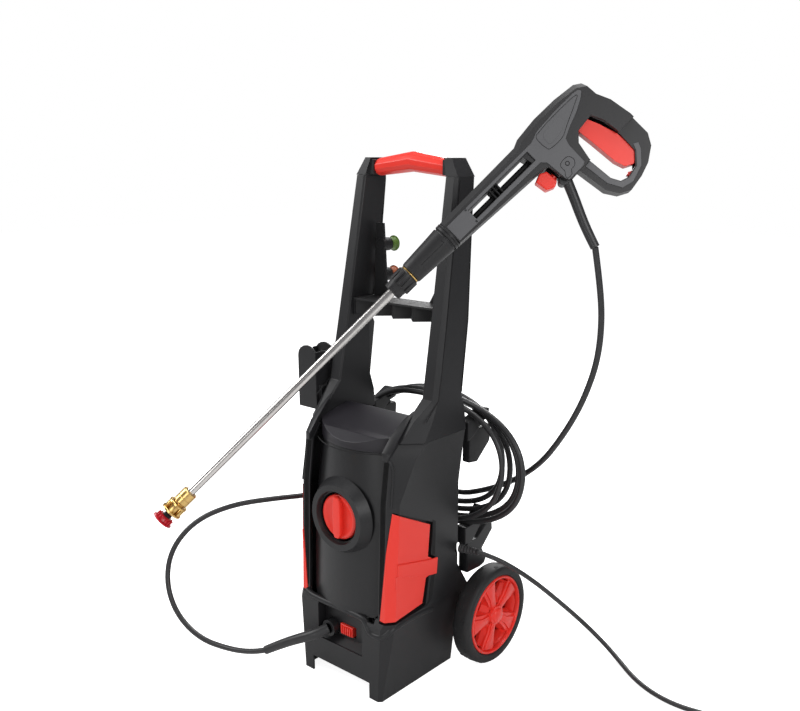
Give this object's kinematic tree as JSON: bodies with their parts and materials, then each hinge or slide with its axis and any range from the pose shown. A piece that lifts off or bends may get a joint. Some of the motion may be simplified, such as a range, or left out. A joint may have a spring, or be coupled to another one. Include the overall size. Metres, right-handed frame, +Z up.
{
  "type": "pressure washer",
  "caption": "Upright electric pressure washer on two wheels with a loop handle, front dial, coiled hose, spray gun with lance and a mains cord.",
  "frame": {"origin": "on the floor under the middle of the housing", "axes": "+Z up, the front panel faces -Y, +X to the right seen from the front"},
  "size_m": [1.0846, 0.6458, 0.9498],
  "materials": {
    "black": "moulded black plastic, fine texture",
    "panel": "smoother dark plastic",
    "red": "coral red plastic, satin",
    "tyre": "hard rubber tread",
    "gun": "satin grey-black plastic",
    "rubber": "black hose and cord jacket",
    "steel": "polished stainless tube and zinc parts",
    "brass": "turned brass",
    "aluminium": "die-cast pump parts",
    "green": "green nozzle cap",
    "orange": "orange nozzle cap",
    "white": "natural plastic",
    "dark_red": "dark red nozzle cap"
  },
  "bodies": {
    "machine": {"main_housing": "black", "front_panel": "panel", "hood": "panel", "rear_cover": "black", "post_right": "black", "post_left": "black", "side_panel_right": "red", "side_panel_left": "red", "handle_top": "black", "grip": "red", "crossbar": "black", "knob_bezel": "black", "switch_box": "black", "outlet_socket": "black", "holster": "black", "upper_hooks": "black", "lower_hooks": "black", "axle": "steel", "motor_stator": "steel", "pump_body": "aluminium", "pistons": "steel", "pump_head": "aluminium", "unloader_valve": "brass", "capacitor": "white", "water_inlet": "brass", "housing_screws": "steel", "cord_gland": "rubber", "gun_shell_right": "gun", "gun_shell_left": "gun", "gun_valve": "brass", "gun_pins": "steel", "foregrip_sleeve": "gun", "brass_ring": "brass", "lance_tube": "steel", "coupler_body": "brass", "hose_sleeves": "rubber", "hose_run_gun": "rubber", "hose_run_outlet": "rubber", "hose_coil": "rubber", "power_cord": "rubber", "cord_coil": "rubber", "cord_tie": "rubber", "plug": "rubber"},
    "knob": {"knob": "red"},
    "outlet_latch": {"outlet_latch": "red"},
    "wheel_right": {"tyre_right": "tyre", "hub_right": "red"},
    "wheel_left": {"tyre_left": "tyre", "hub_left": "red"},
    "rotor": {"motor_rotor": "steel", "cooling_fan": "black", "wobble_plate": "steel"},
    "spare_green": {"spare_nozzle_green": "green"},
    "spare_orange": {"spare_nozzle_orange": "orange"},
    "trigger": {"gun_trigger": "red"},
    "safety": {"safety_catch": "red"},
    "release_button": {"hose_release_button": "red"},
    "lance_nut": {"lance_nut": "black"},
    "coupler_collar": {"coupler_collar": "brass"},
    "nozzle": {"nozzle_cap": "dark_red"}
  },
  "joints": [
    {"name": "knob_turn", "type": "hinge", "parent": "machine", "child": "knob", "pos_m": [0, -0.1, 0.294], "axis": [0, -1, 0], "range_deg": [0, 90]},
    {"name": "latch_slide", "type": "slide", "parent": "machine", "child": "outlet_latch", "axis": [1, 0, 0], "range_m": [0, 0.004]},
    {"name": "wheel_right_spin", "type": "hinge", "parent": "machine", "child": "wheel_right", "pos_m": [0.136, 0.12, 0.086], "axis": [1, 0, 0], "continuous": true},
    {"name": "wheel_left_spin", "type": "hinge", "parent": "machine", "child": "wheel_left", "pos_m": [-0.136, 0.12, 0.086], "axis": [1, 0, 0], "continuous": true},
    {"name": "motor_spin", "type": "hinge", "parent": "machine", "child": "rotor", "pos_m": [0, -0.008, 0.29], "axis": [0, 0, 1], "continuous": true},
    {"name": "spare_green_pull", "type": "slide", "parent": "machine", "child": "spare_green", "axis": [0, 1, 0], "range_m": [0, 0.02]},
    {"name": "spare_orange_pull", "type": "slide", "parent": "machine", "child": "spare_orange", "axis": [0, 1, 0], "range_m": [0, 0.02]},
    {"name": "trigger_pull", "type": "hinge", "parent": "machine", "child": "trigger", "pos_m": [0.26242, 0.1255, 0.89215], "axis": [0.6292, -0.7368, 0.2473], "range_deg": [0, 8], "stiffness_Nm_per_rad": 0.3, "springref_deg": -11.46},
    {"name": "safety_flip", "type": "hinge", "parent": "machine", "child": "safety", "pos_m": [0.33746, 0.16613, 0.82227], "axis": [-0.6292, 0.7368, -0.2473], "range_deg": [0, 40]},
    {"name": "release_press", "type": "slide", "parent": "machine", "child": "release_button", "axis": [0.4241, 0.5922, 0.6852], "range_m": [0, 0.003], "stiffness_N_per_m": 400, "springref_m": -0.002},
    {"name": "lance_nut_turn", "type": "hinge", "parent": "machine", "child": "lance_nut", "pos_m": [0.10973, -0.07895, 0.67152], "axis": [0.4241, 0.5922, 0.6852], "continuous": true},
    {"name": "collar_pull", "type": "slide", "parent": "machine", "child": "coupler_collar", "axis": [0.4241, 0.5922, 0.6852], "range_m": [0, 0.0015], "stiffness_N_per_m": 600, "springref_m": -0.002},
    {"name": "nozzle_pull", "type": "slide", "parent": "machine", "child": "nozzle", "axis": [-0.4241, -0.5922, -0.6852], "range_m": [0, 0.03]}
  ]
}
